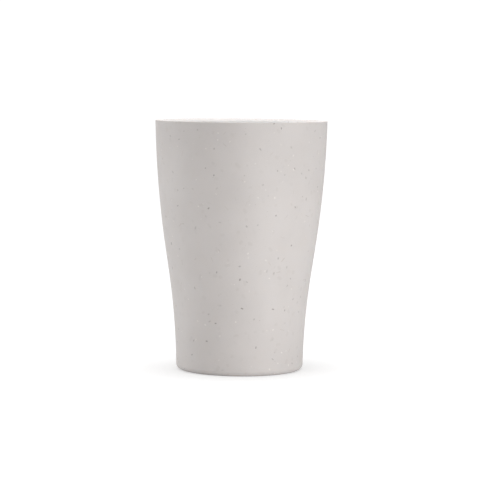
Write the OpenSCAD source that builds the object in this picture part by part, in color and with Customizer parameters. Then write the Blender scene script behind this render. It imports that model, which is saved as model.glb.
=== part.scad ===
// Wheat straw cup: a tapered drinking cup moulded in one piece from straw-filled plastic.
// The side is one smooth curve, hollow near the foot and full near the mouth, with a straight
// flare between. The lip has a crisp outside edge and is rounded inside. Under the floor a shallow
// hollow leaves a flat ring for the cup to stand on, around the dish and pip of the moulding gate.
// Millimetres, +Z up, origin at the middle of the ring that the cup stands on.

/* [Overall] */
// Height from the table to the top of the lip
cup_h = 120; // [100:1:150]
// Outside diameter across the lip
mouth_d = 82.7; // [76:0.1:92]
// Outside diameter at the top of the rounded foot edge
foot_d = 61.2; // [54:0.1:66]
// Thickness of the side, square to its surface
wall = 2; // [1.4:0.1:3]

/* [Side curve] */
// Lean of the side from upright, just above the foot edge, in degrees
foot_lean = 1; // [0:0.1:3]
// Lean of the side from upright, just under the lip, in degrees
mouth_lean = 1.2; // [0:0.1:3]
// Height where the hollow lower curve runs into the straight flare
flare_low_z = 46.5; // [36:0.5:54]
// Height where the straight flare runs into the full upper curve
flare_high_z = 60; // [56:0.5:78]

/* [Lip] */
// Radius of the outside edge of the lip, which the inside is rounded to meet
lip_edge_r = 0.2; // [0.1:0.05:0.6]

/* [Foot and floor] */
// Radius of the outside edge between foot and side
foot_edge_r = 2.8; // [1:0.1:4]
// Width of the flat ring that touches the table
foot_ring_w = 2.4; // [1.5:0.1:5]
// Height of the hollow under the floor
foot_hollow_h = 1.4; // [0.8:0.1:2.4]
// Thickness of the floor
floor_t = 2.2; // [1.4:0.1:3.5]
// Radius inside, between floor and side
floor_fillet_r = 6; // [3:0.5:9]

/* [Gate mark] */
// Diameter of the shallow dish around the gate, under the floor
gate_dish_d = 9; // [6:0.5:14]
// Depth of that dish
gate_dish_depth = 0.4; // [0.2:0.1:0.8]
// Diameter of the pip left where the gate was broken off
gate_pip_d = 1.8; // [1:0.1:3]
// Height of the pip, from the bottom of its dish
gate_pip_h = 0.3; // [0.1:0.05:0.6]

/* [Hidden] */

straw_colour = [0.79, 0.77, 0.76];
round_steps = 180;    // steps around the cup
side_steps = 16;      // steps along each long curve of the side
edge_steps = 10;      // steps along each small rounded edge
lip_edge_steps = 6;   // steps around the outside edge of the lip
lip_round_steps = 14; // steps around the inside of the lip

// A point at a distance from a centre, in a direction given in degrees.
function polar(centre, r, a) = centre + r * [cos(a), sin(a)];

// Points along an arc, both ends included.
function arc(centre, r, from, to, steps) =
    [for (i = [0:steps]) polar(centre, r, from + (to - from) * i / steps)];

// The foot edge rolls from the flat ring up to the side, which it meets at foot_lean.
foot_edge_centre = [foot_d / 2 - foot_edge_r * cos(foot_lean), foot_edge_r];
side_foot = polar(foot_edge_centre, foot_edge_r, -foot_lean);

// The outside edge of the lip rolls from the side, at mouth_lean, up to the crest.
lip_crest = [mouth_d / 2 - lip_edge_r, cup_h];
lip_edge_centre = lip_crest - [0, lip_edge_r];
side_mouth = polar(lip_edge_centre, lip_edge_r, -mouth_lean);

// A curve that turns evenly from one lean to another widens as a straight line at their mean.
function widening(flare) =
    (flare_low_z - side_foot[1]) * tan((foot_lean + flare) / 2)
    + (flare_high_z - flare_low_z) * tan(flare)
    + (side_mouth[1] - flare_high_z) * tan((mouth_lean + flare) / 2);

// Lean of the straight flare that takes the side from the foot to the mouth, found by halving.
function find_flare(low, high, turns) =
    let (middle = (low + high) / 2)
    turns == 0 ? middle
    : widening(middle) < side_mouth[0] - side_foot[0] ? find_flare(middle, high, turns - 1)
    : find_flare(low, middle, turns - 1);

flare_lean = find_flare(0, 60, 40);

// The lower curve is hollow, so its centre is outside the cup. The upper one has its centre inside.
low_curve_r = (flare_low_z - side_foot[1]) / (sin(flare_lean) - sin(foot_lean));
low_curve_centre = side_foot + low_curve_r * [cos(foot_lean), -sin(foot_lean)];
high_curve_r = (side_mouth[1] - flare_high_z) / (sin(flare_lean) - sin(mouth_lean));
high_curve_centre = side_mouth - high_curve_r * [cos(mouth_lean), -sin(mouth_lean)];

// The side, a given depth in from its outside face, between the leans at its low and high ends.
function side(depth, low_lean, high_lean) = concat(
    arc(low_curve_centre, low_curve_r + depth, 180 - low_lean, 180 - flare_lean, side_steps),
    arc(high_curve_centre, high_curve_r - depth, -flare_lean, -high_lean, side_steps)
);

// The lip's inside is the one round that touches both the crest and the inside face of the side.
inside_curve_r = high_curve_r - wall;
crest_reach = lip_crest - high_curve_centre;
lip_round_r = (crest_reach * crest_reach - inside_curve_r ^ 2) / 2 / (crest_reach[1] + inside_curve_r);
lip_round_centre = lip_crest - [0, lip_round_r];
lip_round_lean = asin((high_curve_centre[1] - lip_round_centre[1]) / (inside_curve_r + lip_round_r));

// Inside, the floor rounds up into the side.
floor_z = foot_hollow_h + floor_t;
fillet_reach = low_curve_r + wall + floor_fillet_r;
fillet_lean = asin((floor_z + floor_fillet_r - low_curve_centre[1]) / fillet_reach);
fillet_centre = polar(low_curve_centre, fillet_reach, 180 - fillet_lean);

// Under the floor, the flat ring rolls into the hollow with two equal rounds.
hollow_edge_r = foot_hollow_h / 2;
ring_inner_r = foot_edge_centre[0] - foot_ring_w;
gate_z = foot_hollow_h + gate_dish_depth;

// The underside, from the middle of the gate pip out to the flat ring.
function underside() = concat(
    [
        [0, gate_z - gate_pip_h],
        [gate_pip_d / 2, gate_z - gate_pip_h],
        [gate_pip_d / 2, gate_z],
        [gate_dish_d / 2 - gate_dish_depth, gate_z],
        [gate_dish_d / 2, foot_hollow_h]
    ],
    arc([ring_inner_r - 2 * hollow_edge_r, hollow_edge_r], hollow_edge_r, 90, 0, edge_steps),
    arc([ring_inner_r, hollow_edge_r], hollow_edge_r, 180, 270, edge_steps)
);

// The inside, from the lip's crest down the side and across the floor to the middle.
function inside() =
    let (wall_up = side(wall, fillet_lean, lip_round_lean))
    concat(
        arc(lip_round_centre, lip_round_r, 90, 180 - lip_round_lean, lip_round_steps),
        [for (i = [len(wall_up) - 1:-1:0]) wall_up[i]],
        arc(fillet_centre, floor_fillet_r, -fillet_lean, -90, edge_steps),
        [[0, floor_z]]
    );

// Half of the cup's section, to the right of its axis.
function section() = concat(
    underside(),
    arc(foot_edge_centre, foot_edge_r, -90, -foot_lean, edge_steps),
    side(0, foot_lean, mouth_lean),
    arc(lip_edge_centre, lip_edge_r, -mouth_lean, 90, lip_edge_steps),
    inside()
);

module cup() {
    color(straw_colour)
        rotate_extrude($fn = round_steps)
            polygon(section());
}

cup();
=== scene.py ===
# %% [markdown]
# # A wheat straw cup
#
# The cup is one piece of plastic with ground straw mixed in, moulded in one shot. It stands on a
# white table under soft studio light. This lesson turns its section into a mesh, unrolls it for
# painting, mixes the plastic with its bits of straw, and lights it.
#
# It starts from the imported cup, which fixes the size and place of everything that follows.

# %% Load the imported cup
from math import asin, cos, hypot, pi, radians, sin, tan

import bpy
from mathutils import Matrix, Vector


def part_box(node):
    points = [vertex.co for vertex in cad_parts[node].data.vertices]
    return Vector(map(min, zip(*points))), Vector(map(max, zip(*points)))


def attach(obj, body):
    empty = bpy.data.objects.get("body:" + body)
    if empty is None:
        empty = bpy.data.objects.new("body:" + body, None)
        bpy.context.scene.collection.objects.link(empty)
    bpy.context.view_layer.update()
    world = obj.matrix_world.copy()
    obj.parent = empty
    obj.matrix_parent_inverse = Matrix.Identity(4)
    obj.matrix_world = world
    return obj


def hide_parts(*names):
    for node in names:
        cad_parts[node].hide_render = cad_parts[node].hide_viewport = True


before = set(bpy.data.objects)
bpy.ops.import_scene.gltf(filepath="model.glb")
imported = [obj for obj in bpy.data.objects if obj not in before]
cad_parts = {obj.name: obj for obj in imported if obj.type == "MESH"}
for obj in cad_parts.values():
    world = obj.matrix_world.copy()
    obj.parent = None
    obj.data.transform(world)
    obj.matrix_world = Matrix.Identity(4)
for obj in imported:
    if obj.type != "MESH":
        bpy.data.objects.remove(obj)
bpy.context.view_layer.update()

# %% [markdown]
# ## Sizes
#
# The height and the mouth come from the imported cup, so they can't drift from it. The rest of the
# section can't be read off its outside box, so those sizes are set here, in metres.

# %% Sizes of the cup
MM = 0.001

low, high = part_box("cup")
cup_height = high.z - low.z
mouth_radius = high.x
foot_radius = 30.6 * MM
wall = 2 * MM
lip_edge = 0.2 * MM  # radius of the outside edge of the lip
foot_lean, mouth_lean = 1.0, 1.2  # degrees from upright, at the two ends of the side
flare_low, flare_high = 46.5 * MM, 60 * MM  # the straight stretch between the two curves

foot_edge = 2.8 * MM  # radius between the foot and the side
ring_width = 2.4 * MM
hollow = 1.4 * MM  # height of the hollow under the floor
floor_thick = 2.2 * MM
floor_fillet = 6 * MM

gate_dish_radius, gate_dish_depth = 4.5 * MM, 0.4 * MM
gate_pip_radius, gate_pip_height = 0.9 * MM, 0.3 * MM

print(f"cup {cup_height / MM:.1f} mm tall, {2 * mouth_radius / MM:.1f} mm across the mouth")


# %% [markdown]
# ## The section of the side
#
# A mould for a cup like this is turned on a lathe, so half of its section says everything. The
# outside is hollow near the foot, full near the mouth and straight between, and each stretch
# meets the next without a corner. Arcs that share a tangent give that, and a spline would give it
# only nearly.
#
# An arc that turns evenly from one lean to another widens the cup as much as a straight line at
# their mean lean does. So one unknown is left, the lean of the straight flare, and halving an
# interval forty times finds it.

# %% Arcs, and the lean of the flare
def polar(centre, radius, angle):
    return (centre[0] + radius * cos(radians(angle)), centre[1] + radius * sin(radians(angle)))


def arc(centre, radius, start, end, steps):
    return [polar(centre, radius, start + (end - start) * i / steps) for i in range(steps + 1)]


lip_crest = (mouth_radius - lip_edge, cup_height)
lip_edge_centre = (lip_crest[0], cup_height - lip_edge)
side_top = polar(lip_edge_centre, lip_edge, -mouth_lean)
foot_centre = (foot_radius - foot_edge * cos(radians(foot_lean)), foot_edge)
side_foot = polar(foot_centre, foot_edge, -foot_lean)


def widening(lean):
    return ((flare_low - side_foot[1]) * tan(radians((foot_lean + lean) / 2))
            + (flare_high - flare_low) * tan(radians(lean))
            + (side_top[1] - flare_high) * tan(radians((mouth_lean + lean) / 2)))


too_little, too_much = 0.0, 60.0
for _ in range(40):
    flare_lean = (too_little + too_much) / 2
    if widening(flare_lean) < side_top[0] - side_foot[0]:
        too_little = flare_lean
    else:
        too_much = flare_lean
print(f"the flare leans {flare_lean:.2f} degrees")


# %% The side, at any depth in the wall
def turn_radius(height, lean):
    """Radius of the arc that goes up by height while it turns from one lean to the flare's."""
    return height / (sin(radians(flare_lean)) - sin(radians(lean)))


low_radius = turn_radius(flare_low - side_foot[1], foot_lean)
low_centre = polar(side_foot, low_radius, -foot_lean)
high_radius = turn_radius(side_top[1] - flare_high, mouth_lean)
high_centre = polar(side_top, -high_radius, -mouth_lean)


def side(depth, low_lean, high_lean, steps=40):
    """The side at a depth in from its outside face, between the leans at its two ends."""
    return (arc(low_centre, low_radius + depth, 180 - low_lean, 180 - flare_lean, steps)
            + arc(high_centre, high_radius - depth, -flare_lean, -high_lean, steps))


print(f"hollow curve {low_radius / MM:.0f} mm, full curve {high_radius / MM:.0f} mm in radius")

# %% [markdown]
# ## The rest of the section
#
# The lip has a crisp outside edge, where the two halves of the mould meet, and is rounded inside,
# where the mouth meets it. One round touches both the crest of the lip and the inside face, and its
# radius follows from that. Lower down, the floor rounds up into the side. Under the floor a shallow
# hollow leaves a ring to stand on, so that the cup doesn't rock, and in its middle are the dish and
# the pip where the plastic was let in.
#
# The section is kept as four stretches, because each is unrolled in its own way later on: the
# underside and the floor as discs, the outside and the inside as bands.

# %% Four stretches of the section
floor_top = hollow + floor_thick
fillet_reach = low_radius + wall + floor_fillet
fillet_rise = (floor_top + floor_fillet - low_centre[1]) / fillet_reach
fillet_lean = asin(fillet_rise) * 180 / pi
fillet_centre = polar(low_centre, fillet_reach, 180 - fillet_lean)

inside_radius = high_radius - wall
crest_reach = (lip_crest[0] - high_centre[0], lip_crest[1] - high_centre[1])
lip_round = (hypot(*crest_reach) ** 2 - inside_radius ** 2) / 2 / (crest_reach[1] + inside_radius)
lip_round_centre = (lip_crest[0], lip_crest[1] - lip_round)
lip_round_lean = asin((high_centre[1] - lip_round_centre[1]) / (inside_radius + lip_round)) * 180 / pi

ring_inner = foot_centre[0] - ring_width
bend = hollow / 2  # the ring rolls into the hollow with two equal rounds
gate_top = hollow + gate_dish_depth


def line(start, end, steps):
    return [(start[0] + (end[0] - start[0]) * i / steps, start[1] + (end[1] - start[1]) * i / steps)
            for i in range(steps + 1)]


pip_low = gate_top - gate_pip_height
stretches = {
    "underside": line((0, pip_low), (gate_pip_radius, pip_low), 2)
    + line((gate_pip_radius, gate_top), (gate_dish_radius - gate_dish_depth, gate_top), 4)
    + line((gate_dish_radius, hollow), (ring_inner - 2 * bend, hollow), 12)
    + arc((ring_inner - 2 * bend, bend), bend, 90, 0, 10)[1:]
    + arc((ring_inner, bend), bend, 180, 270, 10)[1:]
    + [(foot_centre[0], 0)],
    "outside": arc(foot_centre, foot_edge, -90, -foot_lean, 16)
    + side(0, foot_lean, mouth_lean)[1:]
    + arc(lip_edge_centre, lip_edge, -mouth_lean, 90, 8)[1:],
    "inside": arc(lip_round_centre, lip_round, 90, 180 - lip_round_lean, 20)
    + side(wall, fillet_lean, lip_round_lean)[::-1][1:]
    + arc(fillet_centre, floor_fillet, -fillet_lean, -90, 16)[1:],
    "floor": line((fillet_centre[0], floor_top), (0, floor_top), 12),
}
print({name: len(points) for name, points in stretches.items()}, "points")

# %% [markdown]
# ## Turning the section into the cup
#
# Blender's Screw modifier could spin the section, but the unrolled map that comes next needs to
# know which ring and which step of the turn each face came from. So the rings are laid one by one:
# one ring of points for each point of the section, and a row of faces between each two rings. A
# point on the axis is a single point, and its faces are triangles.
#
# 240 steps make the outline round in a close view too, and keep the mesh under 200,000 triangles.

# %% Rings of points
turn_steps = 240
on_axis = 1e-9  # a ring smaller than this is a single point

points, inside, faces, face_corners = [], [], [], []


def lay_ring(radius, height, painted_light_share):
    """Adds a ring of points and gives their numbers, or one number over and over on the axis."""
    first = len(points)
    for step in range(turn_steps if radius > on_axis else 1):
        angle = 2 * pi * step / turn_steps
        points.append((radius * cos(angle), radius * sin(angle), height))
        inside.append(painted_light_share)
    ring = list(range(first, len(points)))
    return ring + ring[:1] if len(ring) > 1 else ring * (turn_steps + 1)


def lay_faces(ring, next_ring, places, next_places):
    """Joins two rings with a row of faces, and notes where each corner goes on the map."""
    for step in range(turn_steps):
        corners = [
            (ring[step], places[step]), (ring[step + 1], places[step + 1]),
            (next_ring[step + 1], next_places[step + 1]), (next_ring[step], next_places[step]),
        ]
        if ring[step] == ring[step + 1]:
            corners.pop(1)
        if next_ring[step] == next_ring[step + 1]:
            corners.pop()
        faces.append([number for number, _ in corners])
        face_corners.extend(place for _, place in corners)


# %% [markdown]
# ## The map for painting
#
# The plastic's pattern may be painted to a flat picture, so each face needs a place of its own on
# a square. The outside and the inside are unrolled into two bands, a whole turn wide, and the
# underside and the floor go above them as two discs. One scale for all keeps the paint as fine on
# the lip as on the floor, and it is set so that the bands and the larger disc just fill the height.

# %% Where each stretch goes on the map
def lengths(section):
    """Distance along the section from its start to each of its points."""
    total, along = 0, [0]
    for a, b in zip(section, section[1:]):
        total += hypot(b[0] - a[0], b[1] - a[1])
        along.append(total)
    return along


run = {name: lengths(section) for name, section in stretches.items()}
map_gap = 0.007
map_scale = (1 - 4 * map_gap) / (run["outside"][-1] + run["inside"][-1] + 2 * run["underside"][-1])
band_width = 2 * pi * mouth_radius * map_scale
band_low = {"outside": map_gap, "inside": 2 * map_gap + run["outside"][-1] * map_scale}
disc_up = 1 - map_gap - run["underside"][-1] * map_scale
disc_across = {
    "underside": map_gap + run["underside"][-1] * map_scale,
    "floor": 1 - map_gap - run["underside"][-1] * map_scale,
}


def map_places(name, index):
    """Places on the map of one ring's points, from the start of the turn to its end."""
    along = run[name][index] * map_scale
    if name in band_low:
        return [(map_gap + band_width * step / turn_steps, band_low[name] + along)
                for step in range(turn_steps + 1)]
    out = along if name == "underside" else run[name][-1] * map_scale - along
    return [(disc_across[name] + out * cos(2 * pi * step / turn_steps),
             disc_up + out * sin(2 * pi * step / turn_steps)) for step in range(turn_steps + 1)]


print(f"the map has {map_scale * MM * 1024:.2f} dots per millimetre on a picture 1024 dots wide")

# %% [markdown]
# ## The mesh
#
# The rings are laid in the order of the section, and where one stretch ends the next one starts
# from the same ring, so the cup is one closed skin. Each point also keeps a number of its own, 0
# outside the cup and 1 inside it, which marks where the plastic is painted lighter inside: painted
# light, standing in for the light that brightens the inside. Such an attribute is simpler than a
# second material, and it can change gently over the lip.

# %% Laying the mesh
# The painted light inside fades in over the lip's round, between these two shares.
change_from, change_to = 0.375, 1.0  # shares of the lip's round, from its crest inwards
sharp_angle = 35  # degrees between two faces, above which their edge isn't smoothed


def painted_light_share(name, index):
    """How much painted light a point gets: 0 outside the cup and 1 inside it, with the change on the round
    of the lip.
    """
    if name != "inside":
        return 1.0 if name == "floor" else 0.0
    share = run[name][index] / (lip_round * pi / 2)
    return min(1.0, max(0.0, (share - change_from) / (change_to - change_from)))


ring = None
for name, section in stretches.items():
    for index, (radius, height) in enumerate(section):
        next_ring = ring if index == 0 and ring else lay_ring(radius, height, painted_light_share(name, index))
        if index > 0:
            lay_faces(ring, next_ring, map_places(name, index - 1), map_places(name, index))
        ring = next_ring

mesh = bpy.data.meshes.new("straw_cup")
mesh.from_pydata(points, [], faces)
mesh.shade_smooth()
mesh.set_sharp_from_angle(angle=radians(sharp_angle))

# The inside attribute masks the painted light: the lighter shade painted on the inside of the cup.
mesh.attributes.new("inside", "FLOAT", "POINT").data.foreach_set("value", inside)
paint_map = mesh.uv_layers.new(name="OFBake")
paint_map.data.foreach_set("uv", [number for place in face_corners for number in place])

cup = bpy.data.objects.new("straw_cup", mesh)
bpy.context.scene.collection.objects.link(cup)
print(f"{len(faces)} faces, {sum(len(face) - 2 for face in faces)} triangles")


# %% [markdown]
# ## Shader maths that reads as sums
#
# A shader is a graph of nodes, and a long sum drawn as nodes is hard to read. This class wraps one
# socket, so that `1 - mask * 0.4` can be written as it stands and adds the Math nodes by itself.
# Everything else, such as a noise or a colour mix, comes from its one method `node`.

# %% A socket that can be added and multiplied
class Shade:
    def __init__(self, tree, socket=None):
        self.tree, self.socket = tree, socket

    def node(self, kind, settings=None, sockets=None, output=0):
        """Adds a node, sets it up, feeds its sockets and wraps one of its outputs."""
        node = self.tree.nodes.new(kind)
        for name, value in (settings or {}).items():
            setattr(node, name, value)
        for name, value in (sockets or {}).items():
            feed(self.tree, node.inputs[name], value)
        return Shade(self.tree, node.outputs[output])

    def also(self, output):
        """Another output of the same node."""
        return Shade(self.tree, self.socket.node.outputs[output])

    def maths(self, operation, *values):
        return self.node("ShaderNodeMath", {"operation": operation}, dict(enumerate(values)))

    def vector(self, operation, *values, output="Vector"):
        return self.node("ShaderNodeVectorMath", {"operation": operation},
                         dict(enumerate(values)), output)

    def scaled(self, by):
        return self.node("ShaderNodeVectorMath", {"operation": "SCALE"}, {0: self, "Scale": by})

    def __add__(self, other):
        return self.maths("ADD", self, other)

    def __sub__(self, other):
        return self.maths("SUBTRACT", self, other)

    def __rsub__(self, other):
        return self.maths("SUBTRACT", other, self)

    def __mul__(self, other):
        return self.maths("MULTIPLY", self, other)

    __radd__ = __add__


def feed(tree, socket, value):
    """Links a socket to a wrapped one, or sets it to a number, a colour or a vector."""
    if isinstance(value, Shade):
        tree.links.new(value.socket, socket)
    else:
        socket.default_value = value


def mix(mask, first, second):
    """The first colour where the mask is 0 and the second where it is 1."""
    return mask.node("ShaderNodeMix", {"data_type": "RGBA"}, {0: mask, 6: first, 7: second}, 2)


def fade(value, full, gone):
    """1 where the value is at full, 0 where it is at gone, and smooth between."""
    return value.node("ShaderNodeMapRange", {"interpolation_type": "SMOOTHSTEP"},
                      {"Value": value, 1: full, 2: gone, 3: 1.0, 4: 0.0})


# %% [markdown]
# ## Bits of straw
#
# In the real plastic the straw is ground into husk specks and short fibres. As the plastic flows
# along the mould they turn flat to its skin, each in its own direction. The ones at the skin are
# sharp and dark, and the ones a little deeper show only as pale shadows.
#
# A picture of specks would do, but a rule works at any distance and has no seam. Voronoi cells
# scatter one bit in each cell of space. The offset from a point of the surface to its cell's bit
# splits into how deep the bit lies and how far off it is within the skin. A bit is a short thick
# line, so the offset is cut short along the line first, and what is left is the distance to it.

# %% One helping of straw
def straw(place, skin, spacing, length, width, depth, soft):
    """Bits of straw, sizes in millimetres. Gives how strongly a bit shows, and its own numbers.

    length and width are pairs, for the smallest and the largest bit, and soft is how much wider
    than itself a bit's edge is.
    """
    bit = place.node("ShaderNodeTexVoronoi", None, {"Vector": place, "Scale": 1 / spacing}, "Position")
    own = bit.node("ShaderNodeSeparateXYZ", None, {0: bit.also("Color")})
    heading = bit.node("ShaderNodeTexWhiteNoise", None, {"Vector": bit}, "Color")
    heading = heading.vector("SUBTRACT", heading, (0.5, 0.5, 0.5))
    line_up = skin.vector("NORMALIZE", skin.vector("CROSS_PRODUCT", skin, heading))

    offset = place.vector("SUBTRACT", place, bit)
    sunk = offset.vector("DOT_PRODUCT", offset, skin, output="Value")
    flat = offset.vector("SUBTRACT", offset, skin.scaled(sunk))

    half = own * ((length[1] - length[0]) / 2) + length[0] / 2
    along = flat.vector("DOT_PRODUCT", flat, line_up, output="Value")
    along = along.maths("MINIMUM", along.maths("MAXIMUM", along, 0 - half), half)
    gap = flat.vector("LENGTH", flat.vector("SUBTRACT", flat, line_up.scaled(along)), output="Value")

    across = own.also("Y") * ((width[1] - width[0]) / 2) + width[0] / 2
    shows = fade(gap, across, across * (1 + soft))
    return shows * fade(sunk.maths("ABSOLUTE", sunk), 0.0, depth), own


# %% [markdown]
# ## The plastic
#
# The plastic between the bits is a warm light grey, and no two places have quite the same share of
# straw dust, so slow noise shifts it a little. The inside is painted a lighter shade, which is painted
# light: it stands in for the light that makes the sliver of the inside, seen over the lip, bright.
# Over that go five helpings: clear dark specks, tan fibres, pale shadows of deeper bits, fine dust,
# and a few flecks lighter than the plastic. Light sinks about half a millimetre into such plastic
# before it comes out again, so the shading runs softly over the lip.
#
# Before all that, the coordinates are shaken a little by noise, so that no bit is a perfect line
# or dot. The whole pattern hangs on the cup's own coordinates, so it stays put on the cup.

# %% Mixing the plastic
def straw_plastic():
    """The plastic, with its pattern in millimetres of the cup's own coordinates."""
    material = bpy.data.materials.new("straw_plastic")
    material.use_nodes = True
    shader = material.node_tree.nodes["Principled BSDF"]
    shader.inputs["IOR"].default_value = 1.46
    shader.inputs["Subsurface Weight"].default_value = 0.6
    shader.inputs["Subsurface Radius"].default_value = (1.0, 0.9, 0.8)
    shader.inputs["Subsurface Scale"].default_value = 0.5 * MM
    tools = Shade(material.node_tree)

    place = tools.node("ShaderNodeTexCoord", output="Object").scaled(1 / MM)
    skin = tools.node("ShaderNodeNewGeometry", output="Normal")
    shake = tools.node("ShaderNodeTexNoise", None, {"Vector": place, "Scale": 4.0, "Detail": 2.0}, "Color")
    shake = shake.vector("SUBTRACT", shake, (0.5, 0.5, 0.5)).scaled(0.5)
    shaken = place.vector("ADD", place, shake)

    def moved(x, y, z):
        """The shaken place, moved so that no two helpings have their bits in the same spots."""
        return shaken.vector("ADD", shaken, (x, y, z))

    clouds = tools.node("ShaderNodeTexNoise", None, {"Vector": place, "Scale": 0.05, "Detail": 3.0})
    grain = tools.node("ShaderNodeTexNoise", None, {"Vector": place, "Scale": 1.6, "Detail": 4.0})
    colour = mix(fade(clouds, 0.35, 0.65), (0.548, 0.518, 0.504, 1), (0.567, 0.537, 0.523, 1))
    colour = mix(fade(grain, 0.35, 0.75) * 0.05, colour, (0.40, 0.36, 0.31, 1))
    # Painted light: the inside is painted lighter, for the light that brightens it, not a colour of the
    # plastic.
    inside = tools.node("ShaderNodeAttribute", {"attribute_name": "inside"}, None, "Fac")
    colour = mix(inside * 0.55, colour, (0.825, 0.83, 0.83, 1))

    # Each helping has its spacing, length, width and depth in millimetres, and then its softness.
    deep, _ = straw(moved(31, 7, 3), skin, 4.2, (0.2, 1.6), (0.5, 0.9), 0.9, 1.6)
    colour = mix(deep * 0.08, colour, (0.25, 0.21, 0.17, 1))
    dust, _ = straw(moved(5, 41, 9), skin, 2.6, (0.02, 0.2), (0.10, 0.18), 0.25, 0.8)
    colour = mix(dust * 0.30, colour, (0.24, 0.19, 0.14, 1))
    fibre, own = straw(moved(11, 3, 57), skin, 5.4, (0.8, 2.6), (0.20, 0.34), 0.45, 0.5)
    colour = mix(fibre * (own.also("Z") * 0.33 + 0.09), colour, (0.26, 0.20, 0.14, 1))
    fleck, _ = straw(moved(63, 19, 2), skin, 4.0, (0.1, 0.6), (0.3, 0.55), 0.4, 0.6)
    colour = mix(fleck * 0.38, colour, (0.80, 0.77, 0.72, 1))
    speck, own = straw(moved(17, 23, 71), skin, 3.7, (0.1, 0.8), (0.40, 0.66), 0.34, 0.35)
    colour = mix(speck * (own.also("Z") * 0.32 + 0.24), colour, (0.085, 0.068, 0.055, 1))
    feed(tools.tree, shader.inputs["Base Color"], colour)

    rough = 0.56 + grain * 0.10 - speck * 0.12 - fibre * 0.06
    feed(tools.tree, shader.inputs["Roughness"], rough)

    waves = tools.node("ShaderNodeTexNoise", None, {"Vector": place, "Scale": 0.16, "Detail": 1.0})
    relief = waves * 0.6 + grain * 0.05 + fibre * 0.04 - speck * 0.03
    bump = tools.node("ShaderNodeBump", None, {"Strength": 0.6, "Distance": 0.02 * MM, "Height": relief})
    feed(tools.tree, shader.inputs["Normal"], bump)
    return material


cup.data.materials.append(straw_plastic())
print("the plastic has", len(cup.data.materials[0].node_tree.nodes), "nodes")

# %% [markdown]
# ## The table
#
# The cup stands on a plain white table, wide enough to reach the horizon from any side. In the
# photograph the floor is pure white up to a thin, soft shadow around the foot. A table that only
# reflects can't be that white beside a cup this grey, so this one glows a little, as the table of a
# light tent does.
#
# A glow as strong as the camera needs would also light the rounded foot from below, and wash out
# the thin dark line where the cup meets the table. So the table shows its whole glow to the camera
# only, and the cup gets a quarter of it.

# %% White table
table_radius = 12
table_glow = 0.44
glow_on_cup = 0.25  # share of the glow that anything but the camera gets


def white_table():
    material = bpy.data.materials.new("white_table")
    material.use_nodes = True
    shader = material.node_tree.nodes["Principled BSDF"]
    shader.inputs["Base Color"].default_value = (0.7, 0.7, 0.7, 1)
    shader.inputs["Roughness"].default_value = 0.9
    shader.inputs["Specular IOR Level"].default_value = 0.1
    tools = Shade(material.node_tree)
    to_camera = tools.node("ShaderNodeLightPath", output="Is Camera Ray")
    glow = mix(to_camera, (glow_on_cup, glow_on_cup, glow_on_cup, 1), (1, 1, 1, 1))
    feed(tools.tree, shader.inputs["Emission Color"], glow)
    shader.inputs["Emission Strength"].default_value = table_glow
    bpy.ops.mesh.primitive_circle_add(vertices=96, radius=table_radius, fill_type="NGON")
    table = bpy.context.object
    table.name = "white_table"
    table.data.materials.append(material)
    return table


table = white_table()
print(f"the table is {2 * table_radius} m wide")

# %% [markdown]
# ## The light
#
# The cup is lit as small goods are for a catalogue, in a bright white room. A light overhead, narrow
# for a soft light, makes the short shadow around the foot. Two low strips stand at the height of the
# foot, which they light a little more than the lip, as in the photograph. The wide one, on the right
# and towards the camera, makes the broad bright band, and the other lifts the left edge.
#
# Lights that low would throw long shadows over the table, and the photograph has none. Light linking
# mends that: each strip is given a collection with only the cup in it, and lights nothing else.
#
# The inside of the lip is still dull then, because it faces the camera as the shaded front does. A
# small light box close over the mouth brightens the lip and the inside, and hardly anything else.

# %% Room and lights
strip_away = 420 * MM  # from the cup's axis
strip_height, strip_middle = 40 * MM, 21 * MM  # its middle is this far above the table


def room(strength, seen):
    """A bright room, which the camera sees as plain white."""
    world = bpy.data.worlds.new("room")
    world.use_nodes = True
    bpy.context.scene.world = world
    tools = Shade(world.node_tree)
    to_camera = tools.node("ShaderNodeLightPath", output="Is Camera Ray")
    back = world.node_tree.nodes["Background"]
    back.inputs["Color"].default_value = (1, 1, 1, 1)
    feed(tools.tree, back.inputs["Strength"], to_camera * (seen - strength) + strength)


def hang(light, place=(0, 0, 0), shines_from=(0, 0, 1), only=None):
    """Puts a light in the scene, and with only, lets it light that one object."""
    lamp = bpy.data.objects.new(light.name, light)
    bpy.context.scene.collection.objects.link(lamp)
    lamp.location = place
    lamp.rotation_euler = Vector(shines_from).to_track_quat("Z", "Y").to_euler()
    lamp.visible_camera = False
    if only:
        lit = bpy.data.collections.new(light.name + "_lights")
        lit.objects.link(only)
        lamp.light_linking.receiver_collection = lit


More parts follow.
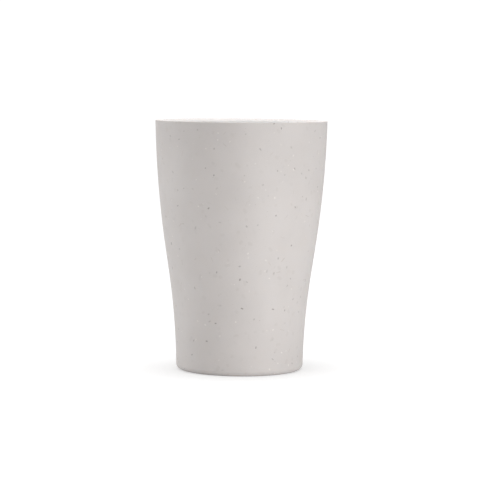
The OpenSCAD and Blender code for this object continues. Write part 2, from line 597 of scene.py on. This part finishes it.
def overhead_sun(spread, strength):
    """A sun straight overhead, as wide as its spread in degrees, so the table is lit evenly."""
    light = bpy.data.lights.new("overhead", "SUN")
    light.angle, light.energy = radians(spread), strength
    hang(light)


def low_strip(name, bearing, width, watts):
    """A strip of light level with the foot. Bearing is in degrees to the right of the camera."""
    light = bpy.data.lights.new(name, "AREA")
    light.shape, light.size, light.size_y, light.energy = "RECTANGLE", width, strip_height, watts
    way = Vector((sin(radians(bearing)), -cos(radians(bearing)), 0))
    hang(light, way * strip_away + Vector((0, 0, strip_middle)), way, only=cup)


def light_box(width, height, watts):
    """A square light box over the middle of the cup, facing down."""
    light = bpy.data.lights.new("over_mouth", "AREA")
    light.shape, light.size, light.energy = "SQUARE", width, watts
    hang(light, (0, 0, height))


room(strength=0.54, seen=1.1)
overhead_sun(spread=24, strength=1.14)
low_strip("right_strip", bearing=37, width=0.28, watts=0.96)
low_strip("left_strip", bearing=-100, width=0.14, watts=0.57)
light_box(width=0.08, height=0.17, watts=0.051)

# %% [markdown]
# ## The camera
#
# The photograph was taken from about a metre away with a long lens, a little above the lip, so the
# mouth is only a thin sliver. The camera's place, tilt and lens below came from fitting the cup's
# outline, and the small roll is the photograph's own.

# %% Camera
camera_back, camera_right, camera_up = 1.097, -0.0002, 0.1467
pitch_down, roll = 4.395, 0.508
lens_mm, sensor_mm = 171.1, 36

lens = bpy.data.cameras.new("camera")
lens.lens, lens.sensor_width = lens_mm, sensor_mm
camera = bpy.data.objects.new("camera", lens)
bpy.context.scene.collection.objects.link(camera)
camera.matrix_world = (
    Matrix.Translation((camera_right, -camera_back, camera_up))
    @ Matrix.Rotation(radians(90 - pitch_down), 4, "X")
    @ Matrix.Rotation(radians(roll), 4, "Z")
)
bpy.context.scene.camera = camera
bpy.context.scene.view_settings.view_transform = "Standard"
print(f"the camera is {camera.location.length:.2f} m from the foot of the cup")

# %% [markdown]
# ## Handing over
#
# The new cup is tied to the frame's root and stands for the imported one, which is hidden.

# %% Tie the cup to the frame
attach(cup, "root")
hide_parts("cup")
